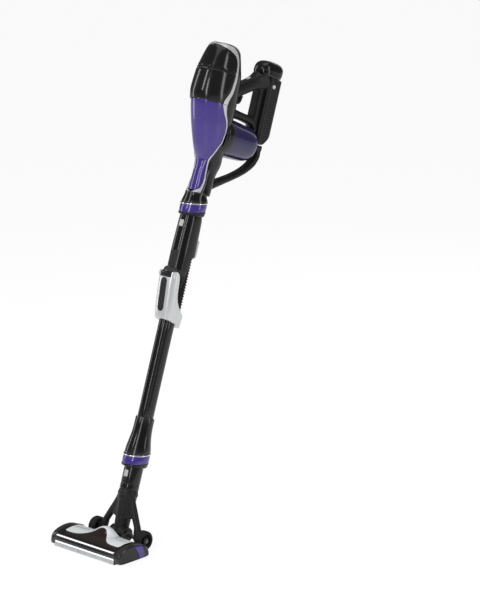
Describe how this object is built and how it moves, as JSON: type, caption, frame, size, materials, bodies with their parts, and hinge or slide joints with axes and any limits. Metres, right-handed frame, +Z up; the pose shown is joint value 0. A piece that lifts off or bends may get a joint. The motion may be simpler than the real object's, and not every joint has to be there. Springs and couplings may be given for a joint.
{
  "type": "cordless stick vacuum",
  "caption": "Cordless stick vacuum with a dust cup, pistol grip and rear battery, a folding wand, a swivelling neck and a wide roller floor head.",
  "frame": {"origin": "centre of the sole of the floor head, on the floor", "axes": "+X across the floor head, -Y towards its front edge, +Z up; the stick leans to +Y"},
  "size_m": [0.225, 0.6591, 1.1322],
  "materials": {
    "purple_gloss": "high gloss lacquered plastic",
    "black_gloss": "glossy moulded plastic",
    "black_matte": "fine textured moulded plastic",
    "smoke": "smoked translucent plastic",
    "drum_purple": "dark translucent purple plastic",
    "silver_paint": "satin silver paint on plastic",
    "chrome_trim": "bright plated trim",
    "white_panel": "light grey glossy plastic",
    "window": "smoky transparent plastic",
    "light_lens": "white light strip",
    "bristle": "brush roll with bristle rows",
    "tyre_rubber": "rubber",
    "steel": "turned steel",
    "filter": "pleated filter fleece",
    "board": "solder masked board",
    "cell": "sleeved cells"
  },
  "bodies": {
    "hand_unit": {"front_cover": "purple_gloss", "rear_frame": "black_gloss", "neck_flare": "black_gloss", "upper_chrome_ring": "chrome_trim", "upper_collar": "purple_gloss", "frame_trims": "silver_paint", "cover_trim": "silver_paint", "handle_left": "black_matte", "handle_right": "black_matte", "palm_cap": "black_gloss", "case_fasteners": "steel", "motor_drum": "drum_purple", "drum_end_cap": "black_matte", "motor": "steel", "motor_bearings": "steel", "control_board": "board"},
    "dust_cup": {"dust_cup": "smoke", "cyclone_cone": "black_matte", "filter_cartridge": "filter", "lid_pin": "steel"},
    "dust_lid": {"dust_lid": "smoke"},
    "trigger": {"trigger": "black_matte"},
    "power_slider": {"power_slider": "silver_paint"},
    "impeller": {"impeller": "steel", "motor_shaft": "steel"},
    "battery": {"battery_case": "black_matte", "battery_cells": "cell", "charge_jack": "black_matte"},
    "battery_button": {"battery_button": "silver_paint"},
    "wand_upper": {"wand_spigot": "black_matte", "flex_arm_left": "black_gloss", "flex_arm_right": "black_gloss", "arm_strip": "black_gloss", "flex_hose": "tyre_rubber"},
    "wand_button": {"wand_button": "silver_paint"},
    "fold_button": {"fold_button": "silver_paint"},
    "wand_lower": {"flex_fork": "silver_paint", "fork_insert": "black_matte", "fold_pin": "steel", "lower_tube": "black_gloss", "tube_end": "black_gloss", "lower_chrome_ring": "chrome_trim", "lower_collar": "purple_gloss"},
    "neck": {"neck_tube": "black_gloss"},
    "head_button": {"head_button": "silver_paint"},
    "yoke": {"yoke": "black_matte", "neck_axle": "steel"},
    "wheel_left": {"wheel_left": "tyre_rubber"},
    "wheel_right": {"wheel_right": "tyre_rubber"},
    "floor_head": {"head_base": "black_matte", "head_cover": "white_panel", "brush_window": "window", "end_caps": "black_gloss", "purple_bands": "purple_gloss", "light_strips": "light_lens", "sole_plate": "black_matte", "brush_motor": "steel", "drive_belt": "tyre_rubber"},
    "brush": {"brush_roll": "bristle"},
    "motor_pulley": {"motor_pulley": "steel"}
  },
  "joints": [
    {"name": "impeller_spin", "type": "hinge", "parent": "hand_unit", "child": "impeller", "pos_m": [0, 0.42774, 0.90456], "axis": [0, 0.9472, -0.3206], "continuous": true},
    {"name": "trigger_pull", "type": "hinge", "parent": "hand_unit", "child": "trigger", "pos_m": [0, 0.47264, 0.99973], "axis": [1, 0, 0], "range_deg": [0, 12], "stiffness_Nm_per_rad": 0.05},
    {"name": "slider_slide", "type": "slide", "parent": "hand_unit", "child": "power_slider", "axis": [0, 0.9806, 0.1959], "range_m": [0, 0.006]},
    {"name": "cup_slide", "type": "slide", "parent": "hand_unit", "child": "dust_cup", "axis": [0, -0.9472, 0.3206], "range_m": [0, 0.06]},
    {"name": "lid_hinge", "type": "hinge", "parent": "dust_cup", "child": "dust_lid", "pos_m": [0, 0.34064, 1.08079], "axis": [1, 0, 0], "range_deg": [0, 75]},
    {"name": "battery_slide", "type": "slide", "parent": "hand_unit", "child": "battery", "axis": [0, 0.9472, -0.3206], "range_m": [0, 0.035]},
    {"name": "battery_button_press", "type": "slide", "parent": "battery", "child": "battery_button", "axis": [-1, 0, 0], "range_m": [0, 0.002], "stiffness_N_per_m": 400},
    {"name": "wand_slide", "type": "slide", "parent": "hand_unit", "child": "wand_upper", "axis": [0, -0.3206, -0.9472], "range_m": [0, 0.045]},
    {"name": "wand_button_press", "type": "slide", "parent": "wand_upper", "child": "wand_button", "axis": [0, 0.9472, -0.3206], "range_m": [0, 0.003], "stiffness_N_per_m": 400},
    {"name": "fold_button_press", "type": "slide", "parent": "wand_upper", "child": "fold_button", "axis": [0, -0.9472, 0.3206], "range_m": [0, 0.003], "stiffness_N_per_m": 600},
    {"name": "fold_hinge", "type": "hinge", "parent": "wand_upper", "child": "wand_lower", "pos_m": [0, 0.22905, 0.61075], "axis": [-1, 0, 0], "range_deg": [0, 90], "deforming": ["flex_hose"]},
    {"name": "head_slide", "type": "slide", "parent": "wand_lower", "child": "neck", "axis": [0, -0.3206, -0.9472], "range_m": [0, 0.045]},
    {"name": "head_button_press", "type": "slide", "parent": "neck", "child": "head_button", "axis": [0, 0.9472, -0.3206], "range_m": [0, 0.0028], "stiffness_N_per_m": 400},
    {"name": "neck_swivel", "type": "hinge", "parent": "neck", "child": "yoke", "pos_m": [0, 0.09427, 0.119], "axis": [0, 0.3206, 0.9472], "range_deg": [-60, 60]},
    {"name": "head_pitch", "type": "hinge", "parent": "yoke", "child": "floor_head", "pos_m": [0, 0.066, 0.023], "axis": [1, 0, 0], "range_deg": [-18, 60]},
    {"name": "wheel_left_roll", "type": "hinge", "parent": "yoke", "child": "wheel_left", "pos_m": [-0.075, 0.066, 0.023], "axis": [1, 0, 0], "continuous": true},
    {"name": "wheel_right_roll", "type": "hinge", "parent": "yoke", "child": "wheel_right", "pos_m": [0.075, 0.066, 0.023], "axis": [1, 0, 0], "continuous": true},
    {"name": "brush_spin", "type": "hinge", "parent": "floor_head", "child": "brush", "pos_m": [0, -0.022, 0.0165], "axis": [1, 0, 0], "continuous": true},
    {"name": "motor_pulley_spin", "type": "hinge", "parent": "floor_head", "child": "motor_pulley", "pos_m": [0.1, 0.02, 0.016], "axis": [1, 0, 0], "continuous": true}
  ],
  "couplings": [
    {"joint": "motor_pulley_spin", "follows": "brush_spin", "ratio": 1.5}
  ]
}
